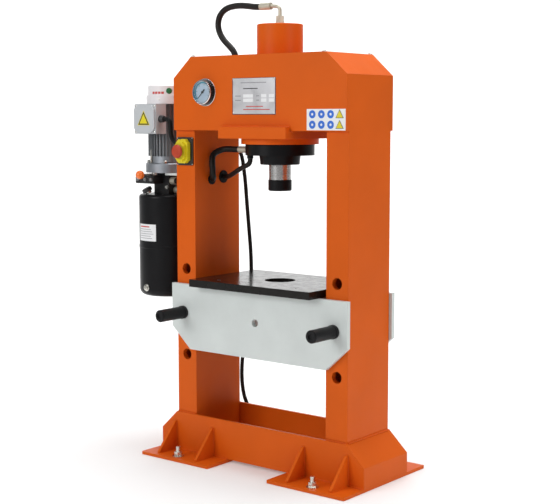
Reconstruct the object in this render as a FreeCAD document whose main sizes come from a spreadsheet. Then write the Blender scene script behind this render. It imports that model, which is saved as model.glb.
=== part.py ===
import FreeCAD, Part
import Sketcher
import math
import os
import re

# Hydraulic shop press, in millimetres. The origin is on the floor under the ram's axis:
# +X is to the operator's right, +Y to the rear and +Z up.

NODE_FOLDER = "parts"
# Bearing of the first gland screw, in degrees: it keeps them all clear of the return hose's union.
FIRST_SCREW = 12.5
PLANES = {"XY": "XY_Plane", "XZ": "XZ_Plane", "YZ": "YZ_Plane"}
Vector = FreeCAD.Vector

# Driving dimensions: alias, value and what it measures.
DIMENSIONS = [
    ("fit_gap", 0.3, "gap between pieces that move past each other"),
    ("run_gap", 0.05, "radial gap of a running fit"),
    # welded frame
    ("post_out", 364, "outer side of an upright, from the ram's axis"),
    ("post_in", 279, "inner side of an upright"),
    ("post_mid", 321.5, "middle of an upright"),
    ("post_deep", 116, "half depth of an upright"),
    ("post_side_wall", 10, "thickness of an upright's side plates"),
    ("post_face_wall", 20, "thickness of an upright's front and rear plates"),
    ("pin_hole", 19, "radius of the holes for the table pins"),
    ("pin_low", 352, "height of the lowest row of pin holes"),
    ("pin_pitch", 150, "distance between rows of pin holes"),
    ("head_low", 1130, "underside of the head"),
    ("head_step", 1306, "height where the head's ends start to slope"),
    ("head_top", 1377, "top of the head"),
    ("head_flat", 284, "half length of the head's flat top"),
    ("head_face", 128, "front of the head, from the ram's axis"),
    ("cover_inner_flat", 279.5, "half length of the flat top, inside"),
    ("cover_inner_end", 346, "inner edge of the cover's end"),
    ("cover_thick", 12, "thickness of the head's cover"),
    ("cover_bore", 78, "radius of the cylinder's hole in the cover"),
    ("cross_half", 142.5, "half length of the plate that holds the cylinder"),
    ("cross_deep", 151, "half depth of that plate"),
    ("cross_low", 1104, "underside of that plate"),
    ("cross_top", 1142, "top of that plate"),
    ("base_half", 435, "half length of the base"),
    ("base_face", 125, "front of the base, from the ram's axis"),
    ("base_step", 77, "height where the base's ends start to slope"),
    ("base_top", 144, "top of the base"),
    ("end_thick", 9, "thickness of the base's end plates"),
    ("end_inner_step", 73.1, "bend of an end plate, inside"),
    ("end_inner_top", 131.6, "upper edge of an end plate, inside"),
    ("foot_thick", 10, "thickness of a foot plate"),
    ("foot_in", 127, "inner end of a foot plate"),
    ("foot_deep", 233, "half depth of a foot plate"),
    ("gusset_high", 110, "top of a gusset"),
    ("gusset_deep", 214, "outer tip of a gusset"),
    ("gusset_blunt", 6, "blunt edge at a gusset's tips"),
    ("gusset_thick", 10, "thickness of a gusset"),
    ("gusset_near", 197, "inner gusset of a foot, from the ram's axis"),
    ("gusset_far", 370, "outer gusset of a foot"),
    ("stud_x", 290, "foot studs, from the ram's axis to the side"),
    ("stud_y", 200, "foot studs, from the ram's axis to the front or rear"),
    ("stud_r", 8, "radius of a foot stud"),
    ("stud_top", 45, "top of a foot stud"),
    ("stud_hole", 9, "radius of a foot plate's stud hole"),
    ("washer_r", 20, "radius of a washer"),
    ("washer_thick", 3, "thickness of a washer"),
    ("nut_corner", 13.9, "radius to a nut's corners"),
    ("nut_high", 14, "height of a nut"),
    # table
    ("table_near", 118, "inner side of the table's side plates"),
    ("table_far", 134, "outer side of the table's side plates"),
    ("table_half", 374, "half length of the side plates"),
    ("table_low", 375, "underside of the side plates"),
    ("table_step", 451, "height where their lower corners are cut"),
    ("table_cut", 291, "half length of their lower edge"),
    ("table_rest", 601, "top of the side plates"),
    ("table_top", 626, "top of the table"),
    ("table_pin_z", 502, "height of the table pins"),
    ("lift_hole_z", 496, "height of the hole in the middle of a side plate"),
    ("lift_hole", 13, "radius of that hole"),
    ("top_half", 256, "half length of the top plate"),
    ("top_deep", 175, "half depth of the top plate"),
    ("top_bore", 52, "radius of the hole in the top plate"),
    ("screw_x", 165, "top plate screws, to the side"),
    ("screw_y", 126, "top plate screws, to the front or rear"),
    ("screw_r", 4, "radius of a top plate screw's shank"),
    ("screw_head", 8, "radius of its head"),
    ("screw_end", 578, "lower end of a top plate screw"),
    ("spacer_near", 225, "inner side of a table spacer"),
    ("spacer_far", 237, "outer side of a table spacer"),
    ("spacer_low", 490, "underside of a table spacer"),
    ("pin_r", 18, "radius of a table pin"),
    ("pin_grip", 21, "radius of its grip"),
    ("pin_collar", 22.5, "radius of its collar"),
    ("pin_collar_long", 12, "length of its collar"),
    ("pin_grip_end", 121, "front of the grip, from the side plate"),
    ("pin_back", 274, "length of the pin behind the side plate's face"),
    ("pin_edge", 4, "chamfer at the pin's ends"),
    # cylinder and ram
    ("barrel_r", 76.5, "radius of the cylinder barrel"),
    ("barrel_bore", 55, "radius of its bore"),
    ("barrel_top", 1479, "top of the barrel"),
    ("barrel_roof", 1452, "top of the bore"),
    ("barrel_edge", 2, "chamfer of the barrel's top edge"),
    ("port_r", 8, "radius of an oil port"),
    ("flange_r", 130, "radius of the barrel's flange"),
    ("flange_low", 1085, "underside of the barrel's flange"),
    ("gland_r", 116, "radius of the gland flange"),
    ("gland_low", 1048, "underside of the gland flange"),
    ("gland_spigot", 1109, "top of the gland's spigot"),
    ("boss_low", 1017, "underside of the gland's boss"),
    ("boss_root", 69.5, "radius of the boss at the flange"),
    ("boss_tip", 66, "radius of the boss at its lower end"),
    ("rod_r", 37, "radius of the ram's rod"),
    ("rod_seal_r", 41, "outer radius of a rod seal"),
    ("rod_seal_low", 1060, "underside of the lower rod seal"),
    ("rod_seal_high", 1092, "underside of the upper rod seal"),
    ("seal_thick", 8, "height of a seal"),
    ("bolt_ring", 95, "radius of the ring of gland screws"),
    ("bolt_r", 6, "radius of a gland screw"),
    ("bolt_head", 9, "radius of a gland screw's head"),
    ("bolt_sink", 13, "depth of a gland screw's counterbore"),
    ("bolt_end", 1100, "upper end of a gland screw"),
    ("retract_z", 1064, "height of the retract port"),
    ("piston_low", 1387, "underside of the piston with the ram up"),
    ("piston_top", 1447, "top of the piston with the ram up"),
    ("piston_eye", 25, "radius of the piston's hole"),
    ("piston_groove", 48, "inner radius of a piston seal"),
    ("piston_seal_low", 1398, "underside of the lower piston seal"),
    ("piston_seal_high", 1428, "underside of the upper piston seal"),
    ("rod_low", 966, "lower end of the rod with the ram up"),
    ("nose_r", 39.5, "radius of the ram's nose"),
    ("nose_low", 929, "underside of the nose with the ram up"),
    ("nose_edge", 3, "chamfer of the nose"),
    ("nose_stem", 12, "radius of the nose's stem"),
    ("nose_stem_top", 990, "top of the nose's stem"),
    # oil hoses
    ("hose_r", 10.5, "radius of the two large hoses"),
    ("return_r", 8.5, "radius of the return hose"),
    ("elbow_r", 6, "radius of the bent pipe on the cylinder"),
    ("ferrule_r", 12, "radius of a ferrule"),
    ("grommet_r", 14.5, "radius of a grommet in its hole"),
    ("grommet_lip", 18, "radius of a grommet's lip"),
    ("lip_thick", 4, "thickness of a grommet's lip"),
    ("return_grommet_r", 16, "radius of the return hose's grommet in its hole"),
    ("return_lip", 22, "radius of the return hose's grommet's lip"),
    ("head_hose_x", -193.5, "advance hose at the head's top"),
    ("advance_z", 914, "height of the advance hose through the outer wall"),
    ("retract_y", -31, "retract hose through the upright, to the front"),
    ("retract_wall_z", 960, "height of the retract hose through the inner wall"),
    ("retract_out_z", 950, "height of the retract hose through the outer wall"),
    ("return_y", 30, "return hose through the upright, to the rear"),
    ("return_wall_z", 967, "height of the return hose through the inner wall"),
    ("return_out_z", 946, "height of the return hose through the outer wall"),
    ("conduit_y", -92, "conduit through the outer wall, to the front"),
    ("conduit_z", 1084, "height of the conduit through the outer wall"),
    # pressure gauge
    ("gauge_x", -218.5, "gauge, to the side"),
    ("gauge_z", 1257, "gauge's height"),
    ("gauge_flange", 46.5, "radius of the gauge's flange"),
    ("gauge_neck", 38, "radius of the case behind the bezel"),
    ("gauge_bezel", 41, "radius of the bezel"),
    ("gauge_face", 36.5, "radius of the opening in the bezel"),
    ("gauge_deep", 22, "depth of the gauge in front of the head"),
    # control switch
    ("switch_z", 1058, "middle of the switch"),
    ("plate_half", 37, "half width of the switch's back plate"),
    ("plate_high", 48, "half height of the back plate"),
    ("plate_face", 120, "front of the back plate, from the ram's axis"),
    ("core_half", 22, "half width of the switch's inner case"),
    ("core_high", 30, "half height of the inner case"),
    ("core_face", 131, "front of the inner case"),
    ("flap_half", 26.5, "half width of the flap"),
    ("flap_high", 40.5, "half height of the flap"),
    ("flap_wall", 2.5, "thickness of the flap"),
    ("flap_back", 122, "rear edge of the flap"),
    ("flap_face", 137, "front of the flap's lower step"),
    ("flap_crown", 149, "front of the flap"),
    ("flap_corner", 12, "cut corners of the flap"),
    ("flap_pivot", 1.6, "radius of the flap's hinge barrel"),
    ("start_up", 15, "start button above the switch's middle"),
    ("start_r", 8, "radius of the start button"),
    ("stop_r", 23, "radius of the stop button"),
    ("stop_stem", 6, "radius of the stop button's stem"),
    # power unit
    ("unit_x", -515, "axis of the motor and tank"),
    ("cowl_top", 1290, "top of the fan cowl"),
    ("cowl_seam", 1251, "top of the cowl's wide ring"),
    ("frame_top", 1221, "top of the motor's frame"),
    ("frame_low", 1036, "lower end of the motor's frame"),
    ("bell_low", 1011, "lower end of the motor's end bell"),
    ("plate_low", 977, "underside of the motor's flange"),
    ("cowl_r", 70, "radius of the cowl"),
    ("cowl_ring", 75.5, "radius of the cowl's wide ring"),
    ("cowl_wall", 2, "thickness of the cowl"),
    ("stator_r", 62, "radius of the motor's frame between its fins"),
    ("stator_bore", 40, "radius of the motor's bore"),
    ("shield", 12, "thickness of the motor's upper end shield"),
    ("fin_r", 71, "radius over the fins"),
    ("fin_half", 1.5, "half thickness of a fin"),
    ("bell_r", 64, "radius of the end bell"),
    ("mount_r", 80, "radius of the motor's flange"),
    ("rotor_low", 1050, "lower end of the rotor"),
    ("rotor_top", 1190, "upper end of the rotor"),
    ("shaft_r", 7, "radius of the motor shaft"),
    ("shaft_low", 946, "lower end of the motor shaft"),
    ("fan_low", 1232, "underside of the fan"),
    ("fan_top", 1250, "top of the fan"),
    ("fan_hub", 16, "radius of the fan's hub"),
    ("fan_r", 58, "radius of the fan"),
    ("box_off", 8, "terminal box beside the motor's axis"),
    ("box_half", 52, "half width of the terminal box"),
    ("box_low", 1116, "underside of the terminal box"),
    ("box_top", 1220, "top of the terminal box"),
    ("box_back", 72, "rear of the terminal box, from the motor's axis"),
    ("box_front", 118, "front of the box under its lid"),
    ("lid_front", 130, "front of the lid"),
    ("lid_corner", 16, "cut corners of the lid's raised middle"),
    ("neck_half", 32, "half width of the terminal box's neck"),
    ("neck_back", 71.5, "rear of the neck"),
    ("conduit_r", 8, "radius of the conduit"),
    ("pump_half", 36, "half width of the pump block"),
    ("pump_low", 900, "underside of the pump block"),
    ("gear_low", 930, "underside of the gears"),
    ("gear_top", 945, "top of the gears"),
    ("gear_tip", 11.3, "radius to the tips of the teeth"),
    ("gear_root", 8.3, "radius to the roots of the teeth"),
    ("gear_apart", 20, "distance between the gears' axes"),
    ("gear_room", 11.9, "half width of the gears' chamber"),
    ("union_r", 13.5, "radius of a hose's union on the pump"),
    ("union_long", 22, "length of such a union"),
    ("valve_left", -596, "left end of the valve body"),
    ("valve_right", -507, "right end of the valve body"),
    ("valve_front", -85, "front of the valve body"),
    ("valve_low", 938, "underside of the valve body"),
    ("valve_top", 968, "top of the valve body"),
    ("lever_x", -519, "pivot of the lever, to the side"),
    ("lever_y", -66, "pivot of the lever, to the front"),
    ("lever_z", 972, "height of the lever's rod"),
    ("lever_hub", 11, "radius of the lever's hub"),
    ("lever_rod", 3.5, "radius of the lever's rod"),
    ("spindle_r", 5, "radius of the valve's spindle"),
    ("knob_y", -140, "middle of the knob"),
    ("knob_r", 15.5, "radius of the knob"),
    ("tank_r", 106, "radius of the oil tank"),
    ("tank_low", 535, "underside of the oil tank"),
    ("tank_wall", 3, "thickness of the tank"),
    ("tank_band", 713, "middle of the seam round the tank"),
    ("tank_round", 24, "rounding of the tank's lower edge"),
    ("tank_shoulder", 12, "rounding of the tank's upper edge"),
    ("filler_x", -544, "filler cap, to the side"),
    ("filler_y", -68, "filler cap, to the front"),
    ("filler_z", 900, "where the filler's axis meets the tank's top"),
    ("filler_r", 18, "radius of the filler cap"),
    ("filler_neck", 12, "radius of the filler's neck"),
    ("shelf_low", 969, "underside of the bracket's shelf"),
    ("bracket_half", 55, "half width of the bracket"),
    ("bracket_top", 1058, "top of the bracket"),
    ("bracket_thick", 8, "thickness of the bracket"),
    # mains lead
    ("lead_r", 7, "radius of the mains lead"),
    ("lead_z", 1062, "height of the mains lead's gland"),
    ("gland_long", 22, "length of that gland"),
    ("coil_y", 222, "middle of the coiled lead, to the rear"),
    ("coil_in", 63, "inner radius of the coil"),
    ("coil_out", 91, "outer radius of the coil"),
    ("coil_high", 28, "height of the coil"),
    ("plug_y", 300, "axis of the plug, to the rear"),
    ("plug_r", 28, "radius of the plug"),
]

doc = FreeCAD.newDocument("shop_press")
dims = doc.addObject("Spreadsheet::Sheet", "dims")
for row, (alias, value, meaning) in enumerate(DIMENSIONS, start=1):
    dims.set(f"A{row}", meaning)
    dims.set(f"B{row}", str(value))
    dims.setAlias(f"B{row}", alias)
doc.recompute()
SIZE = {alias: value for alias, value, meaning in DIMENSIONS}
nodes = []


# ---------------------------------------------------------------- making pieces

def formula(text):
    """The expression text with each alias turned into a reference to the sheet."""
    def reference(word):
        return "dims." + word.group() if word.group() in SIZE else word.group()
    return re.sub(r"[a-z][a-z_]*", reference, str(text))


def amount(text):
    """The present value of an expression."""
    found = dims.evalExpression(formula(text))
    return float(getattr(found, "Value", found))


def bind(thing, name, text):
    thing.setExpression(name, formula(text))


def new_body(label, node=True):
    body = doc.addObject("PartDesign::Body", label)
    body.Label = label
    if node:
        nodes.append(body)
    return body


def place(thing, x=0, y=0, z=0, rotation=None):
    """Put a finished piece where its three expressions say, turned first."""
    if rotation is not None:
        thing.Placement = FreeCAD.Placement(Vector(), rotation)
    for letter, text in zip("xyz", (x, y, z)):
        bind(thing, f"Placement.Base.{letter}", text)


def rectangle(x_low, y_low, x_high, y_high):
    return [(x_low, y_low), (x_high, y_low), (x_high, y_high), (x_low, y_high)]


def cut_corners(half, high, corner, y=0):
    """A rectangle about the origin with its four corners cut at 45 degrees."""
    right, top = half, f"{y} + {high}"
    left, low = f"-{half}", f"{y} - {high}"
    return [(f"{left} + {corner}", low), (f"{right} - {corner}", low),
            (right, f"{low} + {corner}"), (right, f"{top} - {corner}"),
            (f"{right} - {corner}", top), (f"{left} + {corner}", top),
            (left, f"{top} - {corner}"), (left, f"{low} + {corner}")]


def around(x, y, radius, degrees):
    """A point on a circle, as a pair of expressions."""
    return (f"{x} + {radius} * cos({degrees} deg)", f"{y} + {radius} * sin({degrees} deg)")


def hexagon(x, y, corner):
    return [around(x, y, corner, 60 * side) for side in range(6)]


def draw(body, plane, loops, offset):
    """A sketch on the body's own plane. A loop is a list of corners or a circle (x, y, radius)."""
    support = next(f for f in body.Origin.OriginFeatures if f.Role == PLANES[plane])
    sketch = body.newObject("Sketcher::SketchObject", body.Name + "_sketch")
    sketch.AttachmentSupport = [(support, "")]
    sketch.MapMode = "FlatFace"
    bind(sketch, "AttachmentOffset.Base.z", offset)

    def tie(kind, where, text):
        made = sketch.addConstraint(Sketcher.Constraint(kind, *where, amount(text)))
        bind(sketch, f"Constraints[{made}]", text)

    for loop in loops:
        if isinstance(loop, tuple):
            x, y, radius = loop
            middle = Vector(amount(x), amount(y), 0)
            ring = sketch.addGeometry(Part.Circle(middle, Vector(0, 0, 1), amount(radius)), False)
            tie("DistanceX", (-1, 1, ring, 3), x)
            tie("DistanceY", (-1, 1, ring, 3), y)
            tie("Radius", (ring,), radius)
            continue
        corners = [Vector(amount(x), amount(y), 0) for x, y in loop]
        sides = []
        for start, end in zip(corners, corners[1:] + corners[:1]):
            sides.append(sketch.addGeometry(Part.LineSegment(start, end), False))
        for side, following in zip(sides, sides[1:] + sides[:1]):
            sketch.addConstraint(Sketcher.Constraint("Coincident", side, 2, following, 1))
        for side, (x, y) in zip(sides, loop):
            tie("DistanceX", (-1, 1, side, 1), x)
            tie("DistanceY", (-1, 1, side, 1), y)
    return sketch


def pad(body, plane, loops, low, high):
    """Fill the loops from low to high along the plane's normal axis."""
    offset = f"-({high})" if plane == "XZ" else low
    feature = body.newObject("PartDesign::Pad", body.Name + "_pad")
    feature.Profile = draw(body, plane, loops, offset)
    bind(feature, "Length", f"({high}) - ({low})")
    body.Tip = feature
    return feature


def pocket(body, plane, loops, low, high):
    """Cut the loops away from low to high along the plane's normal axis."""
    doc.recompute()
    before = body.Shape.Volume
    offset = f"-({low})" if plane == "XZ" else high
    feature = body.newObject("PartDesign::Pocket", body.Name + "_pocket")
    feature.Profile = draw(body, plane, loops, offset)
    bind(feature, "Length", f"({high}) - ({low})")
    body.Tip = feature
    doc.recompute()
    if body.Shape.Volume >= before:
        raise RuntimeError(f"a pocket in {body.Label} cuts nothing")
    return feature


def prism(label, plane, loops, low, high, node=True):
    body = new_body(label, node)
    pad(body, plane, loops, low, high)
    return body


def turned(label, outline, node=True):
    """A turned piece: the outline is (radius, height) and turns about the body's own Z axis."""
    body = new_body(label, node)
    feature = body.newObject("PartDesign::Revolution", body.Name + "_turn")
    sketch = draw(body, "XZ", [outline], 0)
    feature.Profile = sketch
    feature.ReferenceAxis = (sketch, ["V_Axis"])
    feature.Angle = 360
    body.Tip = feature
    return body


def repeat_round(body, feature, count):
    """Repeat a feature round the body's own Z axis."""
    pattern = body.newObject("PartDesign::PolarPattern", body.Name + "_ring")
    pattern.Originals = [feature]
    pattern.Axis = (feature.Profile[0], ["N_Axis"])
    pattern.Angle = 360
    pattern.Occurrences = count
    body.Tip = pattern


def soften(body, size, wanted, kind="Fillet"):
    """Round or chamfer the body's edges that the test accepts."""
    doc.recompute()
    tip = body.Tip
    edges = [f"Edge{i}" for i, edge in enumerate(tip.Shape.Edges, start=1) if wanted(edge)]
    feature = body.newObject(f"PartDesign::{kind}", body.Name + "_edge")
    feature.Base = (tip, edges)
    bind(feature, "Radius" if kind == "Fillet" else "Size", size)
    body.Tip = feature


def group(label, pieces):
    """Several solids that stay separate but share one node."""
    compound = doc.addObject("Part::Compound", label)
    compound.Label = label
    compound.Links = pieces
    nodes.append(compound)
    return compound


def is_ring(edge, height, radius):
    """Is the edge a full circle of this radius, about the body's own axis, at this height?"""
    curve = edge.Curve
    if not isinstance(curve, Part.Circle):
        return False
    return abs(curve.Center.z - height) < 0.01 and abs(curve.Radius - radius) < 0.01


def both(half):
    """Mirrored pairs: the sign in front of an expression for each side."""
    return [f"-({half})", f"({half})"]


FORWARD = FreeCAD.Rotation(Vector(1, 0, 0), 90)
BACKWARD = FreeCAD.Rotation(Vector(1, 0, 0), -90)
LEFTWARD = FreeCAD.Rotation(Vector(0, 1, 0), -90)
RIGHTWARD = FreeCAD.Rotation(Vector(0, 1, 0), 90)


# ---------------------------------------------------------------- welded frame

def make_upright(label, side):
    """A box of welded plates: it stands on the foot plate and reaches into the head."""
    outer = rectangle(f"{side} * post_out", "-post_deep", f"{side} * post_in", "post_deep")
    inner = rectangle(f"{side} * (post_out - post_side_wall)", "post_face_wall - post_deep",
                      f"{side} * (post_in + post_side_wall)", "post_deep - post_face_wall")
    upright = prism(label, "XY", [outer, inner], "foot_thick", "head_step")
    rows = [(f"{side} * post_mid", f"pin_low + {row} * pin_pitch", "pin_hole") for row in range(3)]
    pocket(upright, "XZ", rows, "-post_deep - 1", "post_deep + 1")
    return upright


def make_uprights():
    left = make_upright("upright_left", -1)
    make_upright("upright_right", 1)
    inner = [("retract_y", "retract_wall_z", "grommet_r"),
             ("return_y", "return_wall_z", "return_grommet_r")]
    pocket(left, "YZ", inner, "-post_in - post_side_wall - 1", "-post_in + 1")
    outer = [("retract_y", "retract_out_z", "grommet_r"),
             ("return_y", "return_out_z", "return_grommet_r"),
             (0, "advance_z", "grommet_r"), ("conduit_y", "conduit_z", "grommet_r")]
    pocket(left, "YZ", outer, "-post_out - 1", "-post_out + post_side_wall + 1")


def head_outline():
    """The head's side view, with a notch for the plate that holds the cylinder."""
    right = [("cross_half", "head_low"), ("post_out", "head_low"), ("post_out", "head_step"),
             ("head_flat", "head_top")]
    left = [(f"-{x}", z) for x, z in reversed(right)]
    return right + left + [("-cross_half", "cross_top"), ("cross_half", "cross_top")]


def make_head():
    prism("head_front_plate", "XZ", [head_outline()], "-head_face", "-post_deep")
    prism("head_rear_plate", "XZ", [head_outline()], "post_deep", "head_face")
    outside = [("post_out", "head_step"), ("head_flat", "head_top"),
               ("-head_flat", "head_top"), ("-post_out", "head_step")]
    inside = [("-cover_inner_end", "head_step"), ("-cover_inner_flat", "head_top - cover_thick"),
              ("cover_inner_flat", "head_top - cover_thick"), ("cover_inner_end", "head_step")]
    cover = prism("head_cover", "XZ", [outside + inside], "-post_deep", "post_deep")
    holes = [(0, 0, "cover_bore"), ("head_hose_x", 0, "grommet_r")]
    pocket(cover, "XY", holes, "head_top - cover_thick - 1", "head_top + 1")
    cross = prism("cylinder_plate", "XY",
                  [rectangle("-cross_half", "-cross_deep", "cross_half", "cross_deep")],
                  "cross_low", "cross_top")
    pocket(cross, "XY", [(0, 0, "barrel_r + 0.5")], "cross_low - 1", "cross_top + 1")


def base_outline():
    right = [("base_half", "foot_thick"), ("base_half", "base_step"), ("post_out", "base_top")]
    return right + [(f"-{x}", z) for x, z in reversed(right)]


def make_base():
    prism("base_front_plate", "XZ", [base_outline()], "-base_face", "-post_deep")
    prism("base_rear_plate", "XZ", [base_outline()], "post_deep", "base_face")
    bent = [("base_half", "foot_thick"), ("base_half", "base_step"), ("post_out", "base_top"),
            ("post_out", "end_inner_top"), ("base_half - end_thick", "end_inner_step"),
            ("base_half - end_thick", "foot_thick")]
    ends = [bent, [(f"-({x})", z) for x, z in bent]]
    prism("base_end_plates", "XZ", ends, "-post_deep", "post_deep")

    feet = [rectangle("foot_in", "-foot_deep", "base_half", "foot_deep"),
            rectangle("-base_half", "-foot_deep", "-foot_in", "foot_deep")]
    studs = [(x, y) for x in both("stud_x") for y in both("stud_y")]
    holes = [(x, y, "stud_hole") for x, y in studs]
    plates = prism("foot_plates", "XY", feet + holes, 0, "foot_thick")
    soften(plates, 3, lambda e: abs(e.tangentAt(e.FirstParameter).z) > 0.9 and e.Length < 20
           and abs(e.Vertexes[0].Point.y) > 200, "Chamfer")

    triangle = [("base_face", "foot_thick"), ("base_face", "gusset_high"),
                ("base_face + gusset_blunt", "gusset_high"),
                ("gusset_deep", "foot_thick + gusset_blunt"), ("gusset_deep", "foot_thick")]
    pair = [triangle, [(f"-({y})", z) for y, z in triangle]]
    gussets = new_body("foot_gussets")
    for middle in both("gusset_near") + both("gusset_far"):
        pad(gussets, "YZ", pair, f"{middle} - gusset_thick / 2", f"{middle} + gusset_thick / 2")

    bolts = prism("foot_stud_set", "XY", [(x, y, "stud_r") for x, y in studs], 0, "stud_top", False)
    rings = [(x, y, r) for x, y in studs for r in ("washer_r", "stud_r + 0.3")]
    washers = prism("foot_washer_set", "XY", rings, "foot_thick", "foot_thick + washer_thick", False)
    hexes = [hexagon(x, y, "nut_corner") for x, y in studs]
    bores = [(x, y, "stud_r") for x, y in studs]
    nuts = prism("foot_nut_set", "XY", hexes + bores, "foot_thick + washer_thick",
                 "foot_thick + washer_thick + nut_high", False)
    group("foot_bolts", [bolts, washers, nuts])


# ---------------------------------------------------------------- table

def make_table():
    outline = [("table_half", "table_rest"), ("-table_half", "table_rest"),
               ("-table_half", "table_step"), ("-table_cut", "table_low"),
               ("table_cut", "table_low"), ("table_half", "table_step")]
    holes = [("-post_mid", "table_pin_z", "pin_hole"), ("post_mid", "table_pin_z", "pin_hole"),
             (0, "lift_hole_z", "lift_hole")]
    sides = {"table_front_plate": ("-table_far", "-table_near", "-screw_y"),
             "table_rear_plate": ("table_near", "table_far", "screw_y")}
    for label, (low, high, screws) in sides.items():
        plate = prism(label, "XZ", [outline] + holes, low, high)
        taps = [(x, screws, "screw_r") for x in both("screw_x")]
        pocket(plate, "XY", taps, "screw_end", "table_rest + 1")

    bars = [rectangle("spacer_near", "-table_near", "spacer_far", "table_near"),
            rectangle("-spacer_far", "-table_near", "-spacer_near", "table_near")]
    prism("table_spacers", "XY", bars, "spacer_low", "table_rest")

    places = [(x, y) for x in both("screw_x") for y in both("screw_y")]
    top = prism("table_top_plate", "XY",
                [rectangle("-top_half", "-top_deep", "top_half", "top_deep"), (0, 0, "top_bore")]
                + [(x, y, "screw_r") for x, y in places], "table_rest", "table_top")
    head_low = "table_top - screw_head / 2"
    pocket(top, "XY", [(x, y, "screw_head") for x, y in places], head_low, "table_top + 1")
    screws = new_body("table_screws")
    pad(screws, "XY", [(x, y, "screw_r") for x, y in places], "screw_end", head_low)
    pad(screws, "XY", [(x, y, "screw_head") for x, y in places], head_low, "table_top - 0.5")

    for label, side in (("table_pin_left", "-post_mid"), ("table_pin_right", "post_mid")):
        pin = turned(label, [
            (0, "-pin_back"), ("pin_r - pin_edge", "-pin_back"), ("pin_r", "pin_edge - pin_back"),
            ("pin_r", "fit_gap"), ("pin_collar", "fit_gap"),
            ("pin_collar", "pin_collar_long"), ("pin_grip", "pin_collar_long"),
            ("pin_grip", "pin_grip_end - pin_edge"), ("pin_grip - pin_edge", "pin_grip_end"),
            ("pin_r / 2", "pin_grip_end"), ("pin_r / 2", "pin_grip_end - pin_edge"),
            (0, "pin_grip_end - pin_edge")])
        place(pin, side, "-table_far", "table_pin_z", FORWARD)


# ---------------------------------------------------------------- cylinder and ram

def screw_ring(radius):
    """Circles for the gland screws, evenly round the ram's axis."""
    return [(*around(0, 0, "bolt_ring", FIRST_SCREW + 45 * turn), radius) for turn in range(8)]


def grooved(inner, outer, lows, going_down):
    """The corners of two seal grooves in a bore or on a piston, in the order of the outline."""
    corners = []
    for low in lows:
        edges = [(inner, low), (outer, low), (outer, f"{low} + seal_thick"),
                 (inner, f"{low} + seal_thick")]
        corners += reversed(edges) if going_down else edges
    return corners


def make_cylinder():
    barrel = turned("cylinder_barrel", [
        ("barrel_bore", "flange_low"), ("flange_r", "flange_low"), ("flange_r", "cross_low"),
        ("barrel_r", "cross_low"), ("barrel_r", "barrel_top - barrel_edge"),
        ("barrel_r - barrel_edge", "barrel_top"), ("port_r", "barrel_top"),
        ("port_r", "barrel_roof"), ("barrel_bore", "barrel_roof")])
    pocket(barrel, "XY", screw_ring("bolt_r"), "flange_low - 1", "bolt_end")

    bore = "rod_r + run_gap"
    gland = turned("gland_flange", [
        (bore, "boss_low"), ("boss_tip", "boss_low"), ("boss_root", "gland_low"),
        ("gland_r", "gland_low"), ("gland_r", "flange_low"), ("barrel_bore - 0.1", "flange_low"),
        ("barrel_bore - 0.1", "gland_spigot"), (bore, "gland_spigot")]
        + grooved(bore, "rod_seal_r", ["rod_seal_high", "rod_seal_low"], True))
    pocket(gland, "XY", screw_ring("bolt_r + 0.5"), "gland_low - 1", "flange_low + 1")
    pocket(gland, "XY", screw_ring("bolt_head + 0.5"), "gland_low - 1", "gland_low + bolt_sink")
    pocket(gland, "YZ", [(0, "retract_z", "elbow_r")], "-gland_r - 1", "-rod_seal_r - 20")
    pocket(gland, "XY", [(-88, -50, "elbow_r - 1")], "gland_low - 1", "gland_low + 12")

    screws = new_body("gland_screws")
    pad(screws, "XY", screw_ring("bolt_head"), "gland_low + 1", "gland_low + bolt_sink")
    pad(screws, "XY", screw_ring("bolt_r"), "gland_low + bolt_sink", "bolt_end")
    pocket(screws, "XY", [hexagon(*around(0, 0, "bolt_ring", FIRST_SCREW + 45 * turn), "bolt_r - 0.5")
                          for turn in range(8)], "gland_low", "gland_low + 7")

    seals = new_body("rod_seals")
    for low in ("rod_seal_low", "rod_seal_high"):
        pad(seals, "XY", [(0, 0, "rod_seal_r"), (0, 0, "rod_r + run_gap")], low, f"{low} + seal_thick")


def make_ram():
    skirt = "barrel_bore - run_gap"
    turned("piston", [("piston_eye", "piston_low"), (skirt, "piston_low")]
           + grooved(skirt, "piston_groove", ["piston_seal_low", "piston_seal_high"], False)
           + [(skirt, "piston_top"), ("piston_eye", "piston_top")])
    rings = new_body("piston_seals")
    for low in ("piston_seal_low", "piston_seal_high"):
        pad(rings, "XY", [(0, 0, skirt), (0, 0, "piston_groove")], low, f"{low} + seal_thick")
    turned("ram_rod", [
        ("nose_stem", "rod_low"), ("rod_r", "rod_low"), ("rod_r", "piston_low"),
        ("piston_eye", "piston_low"), ("piston_eye", "piston_top - 4"), (0, "piston_top - 4"),
        (0, "nose_stem_top"), ("nose_stem", "nose_stem_top")])
    turned("ram_nose", [
        (0, "nose_low"), ("nose_r - nose_edge", "nose_low"), ("nose_r", "nose_low + nose_edge"),
        ("nose_r", "rod_low - 1"), ("nose_r - 1", "rod_low"), ("nose_stem", "rod_low"),
        ("nose_stem", "nose_stem_top"), (0, "nose_stem_top")])


# ---------------------------------------------------------------- hoses and cords

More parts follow.
